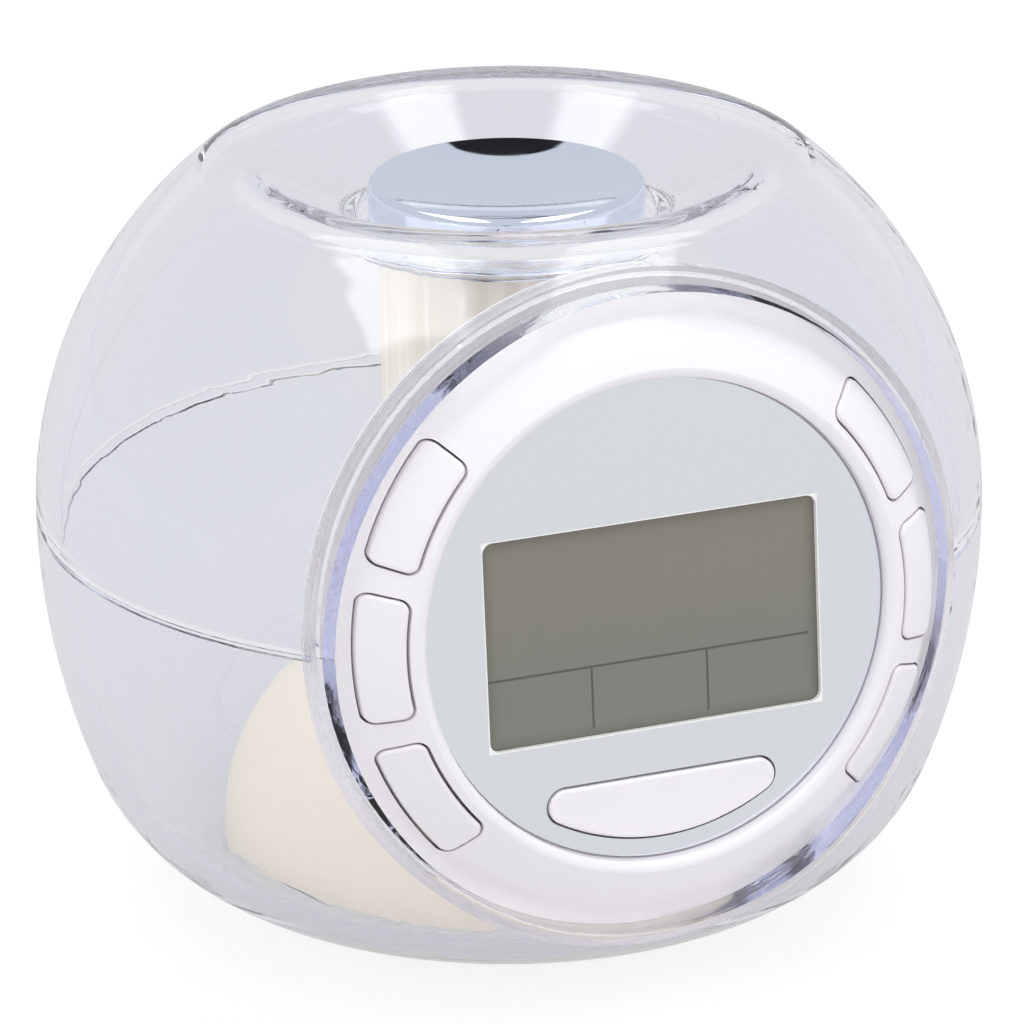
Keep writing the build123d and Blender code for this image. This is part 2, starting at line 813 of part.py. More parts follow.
def make_lcd_frame():
    width, height = glass_width + lcd_frame_border * 2, glass_height + lcd_frame_border * 2
    front = bezel_underside - seat_gap
    frame = display_slab(width, height, front, board_face + seat_gap)
    frame -= display_slab(glass_width + fit_gap * 2, glass_height + fit_gap * 2, front + sink, film_back)
    floor = film_back - lcd_frame_floor
    cavity_height = (glass_height - (strip_inset + strip_width + lcd_frame_floor) * 2)
    frame -= display_slab(glass_width * lcd_cavity_share, cavity_height, floor, board_face - sink)
    for side in (-1, 1):
        frame -= strip_slab(fit_gap / 2, front + sink, board_face - sink, side)
    return on_dial(frame)


def make_lcd_strips():
    return [on_dial(strip_slab(0, glass_back, board_face, side)) for side in (-1, 1)]


def make_dial_board():
    board = rod(board_radius, board_back, board_face)
    hole = rod(small_shank + clearance_hole_gap, board_back - sink, board_face + sink, (post_circle, 0))
    for bore in turned_copies(hole, post_angles):
        board -= bore
    return on_dial(board)


def make_key_switches():
    def tact(place, turn):
        body = slab(switch_width, switch_length, board_face, switch_top)
        button = rod(switch_button_radius, switch_top, switch_button_top)
        return on_dial(Rot(0, 0, turn) * Pos(place, 0, 0) * (body + button))

    switches = [tact(key_stem_circle, angle) for angle in key_angles.values()]
    return switches + [tact(-sound_stem_depth, -right_angle)]


def make_board_parts():
    chip = rod(chip_radius, board_back - chip_height, board_back, chip_place)
    chip = fillet(chip.edges().group_by(Axis.Z)[0], chip_height / 2)
    x, y = crystal_place
    crystal = Pos(x, y, board_back - crystal_radius) * Rot(0, right_angle, 0) * Cylinder(
        crystal_radius, crystal_length
    )
    sensor = rod(sensor_radius, board_back - sensor_height, board_back, sensor_place)
    sensor = fillet(sensor.edges().group_by(Axis.Z)[0], sensor_radius / 2)
    length, width, height = connector_size
    connector = slab(length, width, board_back - height, board_back)
    return {
        "controller_chip": on_dial(chip),
        "timing_crystal": on_dial(crystal),
        "temperature_sensor": on_dial(sensor),
        "harness_connector": on_dial(connector),
    }


def cover_outside(radius):
    # Height of the cover's cone at a radius
    start = cover_face - cover_flange_thickness
    share = (cover_cone_radius - radius) / (cover_cone_radius - cover_back_radius)
    return start + share * (cover_back - start)


def make_dial_rear_cover():
    flange_back = cover_face - cover_flange_thickness
    cover = lathe(
        (cover_flange_radius, cover_face),
        (cover_flange_radius, flange_back),
        (cover_cone_radius, flange_back),
        (cover_back_radius, cover_back),
        (0, cover_back),
        (0, cover_back + cover_wall),
        (cover_back_radius - sink, cover_back + cover_wall),
        (cover_cone_radius - cover_wall, cover_face),
    )
    seat = cover_outside(post_circle) + screw_seat_depth
    boss = rod(cover_boss_radius, seat, board_back - seat_gap, (post_circle, 0))
    hole = rod(small_shank + clearance_hole_gap, seat - overrun, board_back + sink, (post_circle, 0))
    counterbore = rod(dial_screw_head + fit_gap, seat - overrun, seat, (post_circle, 0))
    for boss_copy in turned_copies(boss, post_angles):
        cover += boss_copy
    for cut in turned_copies(counterbore, post_angles) + turned_copies(hole, post_angles):
        cover -= cut
    neck = rod(cover_neck_radius, cover_neck_end, cover_back + sink)
    spigot = rod(spigot_radius, spigot_end, cover_neck_end)
    cover = cover + neck + spigot
    cover -= rod(cover_neck_bore, cover_neck_end + cover_wall, cover_back + cover_wall + sink)
    cover -= rod(spigot_bore, spigot_end - sink, cover_back)
    return on_dial(cover)


def make_dial_screws():
    seat = cover_outside(post_circle) + screw_seat_depth
    shank_top = bezel_underside - post_depth - sink
    screw = rod(dial_screw_head, seat - dial_screw_head_height, seat, (post_circle, 0))
    screw += rod(small_shank, seat, shank_top, (post_circle, 0))
    return [on_dial(copy) for copy in turned_copies(screw, post_angles)]


def make_dial_harness():
    start = dial_frame.location * Pos(0, 0, board_back - connector_size[2])
    along = dial_frame.z_dir
    start_point = start.position
    run = (start_point.Y + harness_offset) / along.Y
    corner = start_point - along * run
    end = (corner.X, corner.Y, light_board_top)
    path = FilletPolyline(start_point, corner, end, radius=harness_bend)
    profile = Plane(origin=start_point, z_dir=-along) * Circle(harness_radius)
    return sweep(profile, path=path)


def make_light_column():
    foot, top = light_board_top, seam_z + column_top_height
    inner = column_radius - column_wall
    well_outer = well_radius + well_wall
    well_bottom = seam_z + well_floor_height - well_floor
    column = lathe(
        (inner, foot),
        (collar_radius, foot),
        (collar_radius, foot + collar_height),
        (column_radius, foot + collar_height),
        (column_radius, top),
        (well_radius, top),
        (well_radius, seam_z + well_floor_height),
        (plunger_radius + plunger_running_gap, seam_z + well_floor_height),
        (plunger_radius + plunger_running_gap, well_bottom),
        (well_outer, well_bottom),
        (well_outer, top - column_wall),
        (inner, top - column_wall),
    )
    post = rod(column_post_radius, seam_z + post_end_height, top - column_wall + sink, (post_ring_radius, 0))
    pilot = rod(
        small_shank + pilot_gap, seam_z + post_end_height - sink, seam_z + post_end_height + pilot_depth,
        (post_ring_radius, 0),
    )
    for boss, bore in zip(turned_copies(post, led_angles), turned_copies(pilot, led_angles)):
        column = (column + boss) - bore
    hole = on_dial(rod(spigot_radius + fit_gap, spigot_end - overrun / 2, cover_neck_end + overrun / 2))
    return column - (hole & slab(collar_radius * 2, collar_radius, foot, top, (0, -collar_radius / 2)))


def make_snooze_cap():
    rim_top, rim_radius = seam_z + cap_top_height, cap_radius - cap_rim_round
    dish_radius = rim_radius
    dish_arc = (dish_radius ** 2 + cap_dish ** 2) / (2 * cap_dish)
    dish_centre = (0, rim_top - cap_dish + dish_arc)
    dish_angle = degrees(atan2(rim_top - dish_centre[1], dish_radius))
    skirt_end, under = seam_z + cap_skirt_end, seam_z + cap_underside_height
    inner = cap_radius - cap_skirt_wall
    return turned(
        arc(dish_centre, dish_arc, -right_angle, dish_angle),
        arc((rim_radius, rim_top - cap_rim_round), cap_rim_round, right_angle, 0),
        line((cap_radius, rim_top - cap_rim_round), (cap_radius, skirt_end)),
        line((cap_radius, skirt_end), (inner, skirt_end)),
        line((inner, skirt_end), (inner, under)),
        line((inner, under), (0, under)),
        line((0, under), (0, rim_top - cap_dish)),
    )


def make_snooze_plunger():
    under, end = seam_z + cap_underside_height, seam_z + plunger_end_height
    stem = rod(plunger_head_radius, under - plunger_head_thickness, under)
    stem += rod(plunger_radius, end, under)
    groove_top = seam_z + clip_top_height
    groove = tube(
        plunger_radius + sink, plunger_radius - clip_groove_depth, groove_top - clip_thickness, groove_top
    )
    return stem - groove


def make_snooze_clip():
    top = seam_z + clip_top_height
    inner = plunger_radius - clip_groove_depth + seat_gap
    clip = tube(plunger_radius + clip_reach, inner, top - clip_thickness + seat_gap, top - seat_gap)
    mouth = slab(inner * 2, plunger_radius + clip_reach, top - clip_thickness, top, (0, -plunger_radius))
    return clip - mouth


def coil(wire, radius_start, radius_end, turns, rise):
    steps = int(turns * coil_steps)

    def place(step):
        share = step / steps
        angle = radians(share * turns * full_turn)
        radius = radius_start + (radius_end - radius_start) * share
        return (radius * cos(angle), radius * sin(angle), rise * share)

    path = Spline(*(place(step) for step in range(steps + 1)))
    profile = Plane(origin=path @ 0, z_dir=path % 0) * Circle(wire / 2)
    return sweep(profile, path=path)


def make_snooze_spring():
    bottom = seam_z + well_floor_height + seat_gap + snooze_spring_wire / 2
    top = seam_z + cap_underside_height - seat_gap - snooze_spring_wire / 2
    spring = coil(
        snooze_spring_wire, snooze_spring_radius, snooze_spring_radius, snooze_spring_turns, top - bottom
    )
    return Pos(0, 0, bottom) * spring


def snooze_board_top():
    return seam_z + post_end_height


def make_snooze_switch():
    bottom = snooze_board_top()
    body_top = bottom + snooze_switch_height
    return slab(snooze_switch_side, snooze_switch_side, bottom, body_top) + rod(
        snooze_button_radius, body_top, seam_z + pressed_end_height
    )


def make_snooze_board():
    top = snooze_board_top()
    board = rod(snooze_board_radius, top - board_thickness, top)
    hole = rod(small_shank + clearance_hole_gap, top - overrun, top + sink, (post_ring_radius, 0))
    for bore in turned_copies(hole, led_angles):
        board -= bore
    return board


def screws_from_below(circle, seat, length):
    screw = rod(tiny_head_radius, seat - tiny_head_height, seat, (circle, 0))
    screw += rod(small_shank, seat, seat + length, (circle, 0))
    return turned_copies(screw, led_angles)


def make_snooze_wires():
    return rod(
        snooze_wire_radius, light_board_top, snooze_board_top() - board_thickness, snooze_wire_place
    )


def make_battery_cells():
    cells = {}
    left = -bay_half_length + contact_thickness + spring_space
    for index in range(3):
        y = (index - 1) * cell_pitch
        body_end = left + cell_length - nub_length
        axis = Pos(0, y, cell_z) * Rot(0, right_angle, 0)
        cell = rod(cell_radius, left, body_end)
        cell = fillet(cell.edges(), sink)
        cell += rod(nub_radius, body_end, left + cell_length)
        turn = Rot(0, 0, half_turn) if index == 1 else Rot(0, 0, 0)
        cells[f"battery_cell_{index + 1}"] = turn * (axis * cell) if index == 1 else axis * cell
    return cells


def contact_side(index):
    # The spring's end of a cell: left for the outer two, right for the middle one
    return 1 if index == 1 else -1


def make_contact_springs():
    springs = {}
    rise = spring_space - contact_wire - seat_gap * 2
    inner = nub_radius
    for index in range(3):
        spring = coil(contact_wire, contact_spring_outer, inner, contact_spring_turns, rise)
        start = contact_thickness + seat_gap + contact_wire / 2 - bay_half_length
        placed = Pos(start, 0, 0) * Rot(0, right_angle, 0) * spring
        turn = half_turn if contact_side(index) > 0 else 0
        springs[f"contact_spring_{index + 1}"] = Pos(0, (index - 1) * cell_pitch, cell_z) * Rot(0, 0, turn) * placed
    return springs


def make_contact_plates():
    plates = []
    for side in (-1, 1):
        for first, last in ((-1, -1), (0, 1)) if side < 0 else ((-1, 0), (1, 1)):
            low, high = first * cell_pitch - contact_half_width, last * cell_pitch + contact_half_width
            x = side * (bay_half_length - contact_thickness / 2)
            plates.append(
                slab(contact_thickness, high - low, cell_z - contact_half_width, cell_z + contact_half_width,
                     (x, (low + high) / 2))
            )
    return plates


def make_leads(offset, bottom, top):
    return [rod(lead_radius, bottom, top, (x, 0)) for x in (-offset, offset)]


def make_speaker():
    rim_inner = speaker_radius - speaker_rim_width
    rim_top = speaker_z + speaker_rim_thickness
    basket_top = speaker_z + basket_rise
    frame = lathe(
        (rim_inner, speaker_z),
        (speaker_radius, speaker_z),
        (speaker_radius, rim_top),
        (rim_inner, rim_top),
        (basket_radius, basket_top + basket_wall),
        (cone_throat, basket_top + basket_wall),
        (cone_throat, basket_top),
        (basket_radius - basket_wall / 2, basket_top),
        (rim_inner, rim_top - basket_wall),
    )
    cone_front = speaker_z + seat_gap
    cone = lathe(
        (cone_radius, cone_front),
        (cone_radius, cone_front + cone_thickness),
        (cone_throat, cone_front + cone_rise + cone_thickness),
        (0, cone_front + cone_rise / 2 + cone_thickness),
        (0, cone_front + cone_rise / 2),
        (cone_throat, cone_front + cone_rise),
    )
    magnet = rod(magnet_radius, basket_top + basket_wall, basket_top + basket_wall + magnet_height)
    return {"speaker_frame": frame, "speaker_cone": cone, "speaker_magnet": magnet}


def make_light_board():
    board = rod(light_board_radius, light_board_bottom, light_board_top)
    hole = rod(
        small_shank + clearance_hole_gap, light_board_bottom - sink, light_board_top + sink,
        (light_boss_circle, 0),
    )
    for bore in turned_copies(hole, led_angles):
        board -= bore
    return board


def make_leds():
    led = rod(led_radius + led_rim, light_board_top, light_board_top + led_rim_height)
    led += rod(led_radius, light_board_top, light_board_top + led_barrel)
    led += Pos(0, 0, light_board_top + led_barrel) * Sphere(led_radius)
    placed = [Rot(0, 0, angle) * Pos(led_circle, 0, 0) * led for angle in led_angles]
    return {f"light_led_{i + 1}": copy for i, copy in enumerate(placed)}


def make_sound_chip():
    length, width, height = sound_chip_size
    return slab(length, width, light_board_top, light_board_top + height)


def all_pieces():
    pieces = {
        "upper_shell": make_upper_shell(),
        "lower_shell": make_lower_shell(),
        "base_dome": make_base_dome(),
        "base_plate": make_base_plate(),
        "base_screws": make_base_screws(),
        "ring_foot": make_ring_foot(),
        "battery_door": make_battery_door(),
        "light_column": make_light_column(),
        "dial_bezel": make_dial_bezel(),
        "mirror_panel": make_mirror_panel(),
        "lcd_frame": make_lcd_frame(),
        "lcd_connector_strips": make_lcd_strips(),
        "dial_board": make_dial_board(),
        "key_switches": make_key_switches(),
        "dial_rear_cover": make_dial_rear_cover(),
        "dial_screws": make_dial_screws(),
        "dial_harness": make_dial_harness(),
        "sound_key": make_sound_key(),
        "snooze_cap": make_snooze_cap(),
        "snooze_plunger": make_snooze_plunger(),
        "snooze_clip": make_snooze_clip(),
        "snooze_spring": make_snooze_spring(),
        "snooze_switch": make_snooze_switch(),
        "snooze_board": make_snooze_board(),
        "snooze_board_screws": screws_from_below(
            post_ring_radius, snooze_board_top() - board_thickness, tiny_shank_length
        ),
        "snooze_wires": make_snooze_wires(),
        "contact_plates": make_contact_plates(),
        "battery_leads": make_leads(battery_lead_offset, bay_top, light_board_bottom),
        "speaker_leads": make_leads(
            speaker_lead_offset, speaker_z + basket_rise + basket_wall, light_board_bottom
        ),
        "light_board": make_light_board(),
        "light_board_screws": screws_from_below(
            light_boss_circle, light_board_bottom, light_board_thickness + light_boss_pilot - sink
        ),
        "sound_chip": make_sound_chip(),
    }
    pieces.update(make_lcd_layers())
    pieces.update(make_board_parts())
    pieces.update(make_battery_cells())
    pieces.update(make_contact_springs())
    pieces.update(make_speaker())
    pieces.update(make_leds())
    for name, angle in key_angles.items():
        pieces[name] = make_key(angle)
    return pieces


os.makedirs("parts", exist_ok=True)
for name, piece in all_pieces().items():
    whole = Compound(children=piece) if isinstance(piece, list) else piece
    export_step(whole, f"parts/{name}.step")
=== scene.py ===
from math import cos, radians, sin

import bpy
from mathutils import Matrix, Vector

# The clock as it was built, each piece in its place. All lengths here are in metres.
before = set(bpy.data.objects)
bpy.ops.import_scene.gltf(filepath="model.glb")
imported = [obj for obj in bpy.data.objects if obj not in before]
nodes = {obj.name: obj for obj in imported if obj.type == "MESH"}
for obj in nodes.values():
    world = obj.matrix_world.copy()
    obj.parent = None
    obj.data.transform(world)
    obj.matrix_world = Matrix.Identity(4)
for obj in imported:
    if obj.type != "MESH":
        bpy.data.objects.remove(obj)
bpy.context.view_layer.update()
mm = 0.001

# Camera: a long lens, a little above the clock and to the left of its dial, turned until
# its frame falls on the photograph's.
azimuth, elevation, roll = radians(-21.9), radians(20.7), radians(-0.5)
seam_height = 41.34 * mm
aim_across, aim_above = 0.3 * mm, -1.95 * mm
camera_distance = 700 * mm
away = Vector((sin(azimuth) * cos(elevation), -cos(azimuth) * cos(elevation), sin(elevation)))
level = Vector((cos(azimuth), sin(azimuth), 0))
upward = Vector((-sin(azimuth) * sin(elevation), cos(azimuth) * sin(elevation), cos(elevation)))
right = cos(roll) * level + sin(roll) * upward
up = -sin(roll) * level + cos(roll) * upward
target = Vector((0, 0, seam_height)) + aim_across * level + aim_above * upward
camera_data = bpy.data.cameras.new("camera")
camera_data.lens = 232.4
camera_data.sensor_width = 36
camera_data.clip_start = 0.01
camera = bpy.data.objects.new("camera", camera_data)
facing = Matrix((right, up, away)).transposed().to_4x4()
camera.matrix_world = Matrix.Translation(target + camera_distance * away) @ facing
bpy.context.collection.objects.link(camera)
bpy.context.scene.camera = camera
bpy.context.scene.view_settings.view_transform = "Standard"


# Base plate and battery cover: satin warm white plastic. Four screws hold the plate,
# and the cover tips into it on two tabs.
class Wire:
    """A shader value that can be used in sums."""

    def __init__(self, tree, socket):
        self.tree, self.socket = tree, socket

    def node(self, kind, inputs=None, output=0, **settings):
        made = self.tree.nodes.new(kind)
        for name, value in settings.items():
            setattr(made, name, value)
        for key, value in (inputs or {}).items():
            if isinstance(value, Wire):
                self.tree.links.new(value.socket, made.inputs[key])
            else:
                made.inputs[key].default_value = value
        return Wire(self.tree, made.outputs[output])

    def maths(self, operation, *values):
        return self.node("ShaderNodeMath", dict(enumerate((self, *values))), operation=operation)

    def reflected(self, operation, other):
        return self.node("ShaderNodeMath", {0: other, 1: self}, operation=operation)

    def __add__(self, other):
        return self.maths("ADD", other)

    def __sub__(self, other):
        return self.maths("SUBTRACT", other)

    def __rsub__(self, other):
        return self.reflected("SUBTRACT", other)

    def __mul__(self, other):
        return self.maths("MULTIPLY", other)

    def __truediv__(self, other):
        return self.maths("DIVIDE", other)

    def __rtruediv__(self, other):
        return self.reflected("DIVIDE", other)

    __radd__, __rmul__ = __add__, __mul__

    def __abs__(self):
        return self.maths("ABSOLUTE")

    def along(self, direction):
        pair = {0: self, 1: tuple(direction)}
        return self.node("ShaderNodeVectorMath", pair, output=1, operation="DOT_PRODUCT")

    def stretched(self, across, upwards):
        scale = {0: self, 1: (across, across, upwards)}
        return self.node("ShaderNodeVectorMath", scale, operation="MULTIPLY")

    def ramp(self, low, high, start=0.0, end=1.0):
        values = {"From Min": low, "From Max": high, "To Min": start, "To Max": end}
        return self.node("ShaderNodeMapRange", {"Value": self, **values}, interpolation_type="SMOOTHSTEP")

    def mix(self, first, second):
        colours = {"Factor": self, 6: rgba(first), 7: rgba(second)}
        return self.node("ShaderNodeMix", colours, output=2, data_type="RGBA")

    def noise(self, scale, detail=2.0, roughness=0.5):
        values = {"Vector": self, "Scale": scale, "Detail": detail, "Roughness": roughness}
        return self.node("ShaderNodeTexNoise", values)


def rgba(colour):
    """A colour with its alpha of one. A wire stays as it is."""
    return colour if isinstance(colour, Wire) else (*colour, 1.0)


def srgb(red, green, blue):
    """The linear colour of a colour given as 0 to 255 on a screen."""
    shares = (c / 255 for c in (red, green, blue))
    return tuple(s / 12.92 if s <= 0.04045 else ((s + 0.055) / 1.055) ** 2.4 for s in shares)


def substance(name, colour, roughness, **constants):
    """A material, its shader and its object coordinates."""
    made = bpy.data.materials.new(name)
    made.use_nodes = True
    tree = made.node_tree
    shader = tree.nodes["Principled BSDF"]
    place = Wire(tree, tree.nodes.new("ShaderNodeTexCoord").outputs["Object"])
    shader.inputs["Base Color"].default_value = (*colour, 1.0)
    shader.inputs["Roughness"].default_value = roughness
    for key, value in constants.items():
        shader.inputs[key.replace("_", " ")].default_value = value
    return made, shader, place


def join(shader, **wires):
    """Wires into the shader's sockets, which are named with underscores here."""
    for key, wire in wires.items():
        wire.tree.links.new(wire.socket, shader.inputs[key.replace("_", " ")])


def bump(height, strength, distance=0.2 * mm):
    return height.node("ShaderNodeBump", {"Height": height, "Strength": strength, "Distance": distance})


def plastic(name, colour, roughness=0.3, skin=900.0, depth=0.02, **constants):
    """Moulded plastic: a faint waviness of the colour and a fine skin."""
    made, shader, place = substance(name, colour, roughness, **constants)
    pale = tuple(min(c * 1.02, 1.0) for c in colour)
    deep = tuple(c * 0.98 for c in colour)
    join(shader, Base_Color=place.noise(90.0, 3.0).mix(deep, pale))
    join(shader, Roughness=place.noise(skin, 2.0).ramp(0.3, 0.7, roughness * 0.9, roughness * 1.1))
    join(shader, Normal=bump(place.noise(skin, 3.0), depth))
    return made


def dress(material, *names):
    """The material goes on these pieces of the frame."""
    for name in names:
        nodes[name].data.materials.clear()
        nodes[name].data.materials.append(material)


dress(plastic("satin white plastic", srgb(236, 229, 219), 0.4), "base_plate", "battery_door")


# Screws, clip, springs and contacts: headed screws with zinc plate, coiled spring wire and
# stamped strip with nickel plate, all with a faint drawn grain.
def metal(name, colour, roughness=0.3, grain=1500.0):
    """Bare metal: its shine varies a little with its scratches."""
    made, shader, place = substance(name, colour, roughness, Metallic=1.0)
    scratches = place.noise(grain, 3.0)
    join(shader, Roughness=scratches.ramp(0.3, 0.7, roughness * 0.75, roughness * 1.25))
    join(shader, Normal=bump(scratches, 0.04))
    return made


screw_names = ("base_screws", "dial_screws", "snooze_board_screws", "light_board_screws")
dress(metal("zinc plate", (0.58, 0.59, 0.60), 0.32), *screw_names)
spring_names = ("contact_spring_1", "contact_spring_2", "contact_spring_3", "snooze_spring", "snooze_clip")
dress(metal("spring wire", (0.55, 0.56, 0.57), 0.25), *spring_names)
dress(metal("nickel plate", (0.66, 0.65, 0.62), 0.22), "contact_plates", "timing_crystal")

# Ring foot: soft grey rubber with a dull skin, moulded as one ring and stuck to the
# clock's underside.
dress(plastic("foot rubber", (0.055, 0.055, 0.058), 0.7, skin=2500.0, depth=0.1), "ring_foot")

# Three cells: a drawn steel can in a printed film jacket, which is shrunk on and leaves
# both ends bare.
jacket_half, jacket_edge = 20.4 * mm, 0.2 * mm
band_place, band_half, band_edge = -13 * mm, 3.4 * mm, 0.1 * mm
dark_print, ochre_print, bare_steel = (0.02, 0.03, 0.05), (0.42, 0.24, 0.09), (0.6, 0.6, 0.6)
jacket, jacket_shader, place = substance("cell jacket", dark_print, 0.3)
along_cell = place.along((1, 0, 0))
beyond = abs(along_cell).ramp(jacket_half, jacket_half + jacket_edge)
band = abs(along_cell - band_place).ramp(band_half, band_half + band_edge)
join(jacket_shader, Base_Color=beyond.mix(band.mix(ochre_print, dark_print), bare_steel))
join(jacket_shader, Metallic=beyond, Roughness=beyond.ramp(0.0, 1.0, 0.3, 0.22))
dress(jacket, "battery_cell_1", "battery_cell_2", "battery_cell_3")

# Wires: thin copper strands in soft coloured covers, soldered at their ends and laid
# together in bundles.
wire_names = ("battery_leads", "speaker_leads", "snooze_wires", "dial_harness")
dress(plastic("wire cover", (0.32, 0.03, 0.03), 0.45), *wire_names)

# Speaker: a pressed steel frame that holds its magnet, and a doped paper cone that is
# glued in at its rim and faces down.
dress(metal("dark plate", (0.06, 0.06, 0.065), 0.5), "speaker_frame", "speaker_magnet")
dress(plastic("cone paper", (0.02, 0.02, 0.02), 0.75, skin=1800.0, depth=0.2), "speaker_cone")

# Circuit boards: woven glass in resin, with a green mask over copper tracks, which show
# through it as paler lines.
bare_mask, mask_on_copper = (0.014, 0.10, 0.04), (0.035, 0.19, 0.08)
board, board_shader, place = substance("circuit board", bare_mask, 0.35)
ways = place.node("ShaderNodeTexWave", {"Vector": place, "Scale": 170.0, "Distortion": 7.0}, output=1)
tracks = ways.ramp(0.82, 0.86)
join(board_shader, Base_Color=tracks.mix(bare_mask, mask_on_copper), Normal=bump(tracks, 0.15))
dress(board, "dial_board", "snooze_board", "light_board")

# What the boards carry: switches, chips and holders moulded in black, a white connector,
# three milky lights, and the rubber strips that join the display to its board.
black = plastic("black plastic", (0.02, 0.02, 0.022), 0.4)
chip_names = ("controller_chip", "temperature_sensor", "sound_chip", "key_switches", "snooze_switch")
dress(black, *chip_names, "snooze_plunger", "lcd_frame")
dress(plastic("connector plastic", srgb(238, 236, 228), 0.4), "harness_connector")
light_names = ("light_led_1", "light_led_2", "light_led_3")
dress(plastic("milky lens", srgb(238, 238, 232), 0.15, Coat_Weight=0.4), *light_names)
dress(plastic("silicone", (0.10, 0.10, 0.11), 0.6), "lcd_connector_strips")

# Base dome: warm white plastic, moulded in one piece over the battery bay, smooth but
# not polished.
dress(plastic("dome plastic", srgb(233, 223, 210), 0.38), "base_dome")

# Light column: a frosted plastic tube that spreads the lights' glow. Drawing it off its
# core left faint streaks along it.
dull_streak, pale_streak = srgb(216, 209, 197), srgb(236, 230, 221)
frosted, frosted_shader, place = substance("frosted plastic", pale_streak, 0.4)
streaks = place.stretched(420.0, 6.0).noise(1.0, 3.0)
join(frosted_shader, Base_Color=streaks.ramp(0.32, 0.68).mix(dull_streak, pale_streak))
join(frosted_shader, Roughness=streaks.ramp(0.3, 0.7, 0.35, 0.5))
dress(frosted, "light_column")

# Snooze cap: a moulded dish with bright chrome plating all over, polished until it
# mirrors the room.
chrome, chrome_shader, place = substance("chrome", srgb(232, 239, 255), 0.03, Metallic=1.0)
join(chrome_shader, Roughness=place.noise(400.0).ramp(0.3, 0.7, 0.02, 0.05))
dress(chrome, "snooze_cap")

# Dial ring, keys and rear cover: one glossy white plastic, which gets its polish in the
# mould. The keys stand loose in openings of the ring.
white = plastic("glossy white plastic", srgb(242, 237, 241), 0.22, Coat_Weight=0.3, Coat_Roughness=0.08)
key_names = [name for name in nodes if name.startswith("key_") and name != "key_switches"]
dress(white, "dial_bezel", "sound_key", "dial_rear_cover", *key_names)

# Mirror face: a silvered panel, cut out for the display. The cut edge round the window is
# bare and white. The dial leans back, so its places are measured along its own slope.
dial_centre = Vector((0, -39.344, 41.44)) * mm
dial_tilt = radians(4.9)
dial_up = Vector((0, sin(dial_tilt), cos(dial_tilt)))
window_centre = (-0.2 * mm, -0.5 * mm)
window_half = (18.2 * mm, 10.95 * mm)


def dial_places(place):
    """Places across and up the dial, from its centre."""
    return place.along((1, 0, 0)), place.along(dial_up) - dial_centre.dot(dial_up)


def beside_window(across, upwards):
    """The distance outside the display's window, less than zero within it."""
    sideways = abs(across - window_centre[0]) - window_half[0]
    return sideways.maths("MAXIMUM", abs(upwards - window_centre[1]) - window_half[1])


silver, cut_edge = srgb(240, 243, 247), srgb(246, 244, 242)
mirror, mirror_shader, place = substance("mirror", silver, 0.03, Metallic=1.0)
bare_width, silver_start = 0.1 * mm, 0.16 * mm
edge = beside_window(*dial_places(place)).ramp(bare_width, silver_start)
join(mirror_shader, Base_Color=edge.mix(cut_edge, silver))
join(mirror_shader, Metallic=edge, Roughness=edge.ramp(0.0, 1.0, 0.3, 0.03))
dress(mirror, "mirror_panel")

# Display: a glass cell between two stuck-on films, grey-green when it is off, with three
# printed fields under its time.
film, film_shader, place = substance("display film", srgb(126, 124, 114), 0.35)
across, upwards = dial_places(place)
line_half, line_end = 0.13 * mm, 0.1 * mm
rule_height, rule_middle, rule_half = -4.2 * mm, -0.55 * mm, 17.6 * mm
field_foot = -10.8 * mm
left_divide, right_divide = -6.9 * mm, 5.73 * mm


def printed(distance):
    """One on a printed line, from the distance to its middle."""
    return 1 - distance.ramp(line_half * 0.6, line_half * 1.4)


past_end = abs(across - rule_middle).ramp(rule_half, rule_half + line_end)
rule = printed(abs(upwards - rule_height)) * (1 - past_end)
above_foot = upwards.ramp(field_foot, field_foot + line_end)
below_rule = 1 - upwards.ramp(rule_height, rule_height + line_half)
divides = printed(abs(across - left_divide)).maths("MAXIMUM", printed(abs(across - right_divide)))
ink = rule.maths("MAXIMUM", divides * above_foot * below_rule)
shade_reach = 10 * mm
rim_shade_width, rim_shade_overlap = 1.6 * mm, 0.1 * mm
cloud = place.noise(260.0, 5.0, 0.65)
# Painted shade: the display's ground is painted darker towards the bottom of the window and lighter
# towards its top, with a random cloudy mottle laid over it.
shade_and_mottle = (upwards.ramp(-shade_reach, shade_reach) + (cloud - 0.5) * 0.6).ramp(0.0, 1.0)
shaded_ground = shade_and_mottle.mix(srgb(124, 125, 117), srgb(134, 129, 118))
# Painted shade: a darker band is painted just inside the window's edge all round, where the mask shades
# the display.
rim_shade = beside_window(across, upwards).ramp(-rim_shade_width, rim_shade_overlap, 0.0, 0.35)
join(film_shader, Base_Color=ink.mix(rim_shade.mix(shaded_ground, srgb(88, 87, 80)), srgb(88, 87, 82)))
dress(film, "lcd_front_polarizer", "lcd_glass", "lcd_rear_reflector")

# Globe: two halves moulded in clear plastic, pushed together at the seam. The plastic
# takes a little red and green out of light that runs a long way through it.
colourless, kept_light = (1.0, 1.0, 1.0), (0.3, 0.32, 0.82)
ripple_depth = 0.5 * mm
clear, clear_shader, place = substance("clear plastic", colourless, 0.0, Transmission_Weight=1.0, IOR=1.5)
join(clear_shader, Normal=bump(place.noise(45.0, 2.0), 0.035, ripple_depth))
cast = place.node("ShaderNodeVolumeAbsorption", {"Color": rgba(kept_light), "Density": 2.6})
clear_output = clear.node_tree.nodes["Material Output"]
clear.node_tree.links.new(cast.socket, clear_output.inputs["Volume"])
dress(clear, "upper_shell", "lower_shell")

# Studio: a white floor in a white tent, with two long soft boxes overhead, one on each
# side of the camera, and a dark gap in the tent behind the clock.
def bounced(ray, kind="Diffuse Depth"):
    """One for light that has met a matt surface, zero for what is seen in glass or metal."""
    return Wire(ray.tree, ray.socket.node.outputs[kind]).maths("MINIMUM", 1.0)


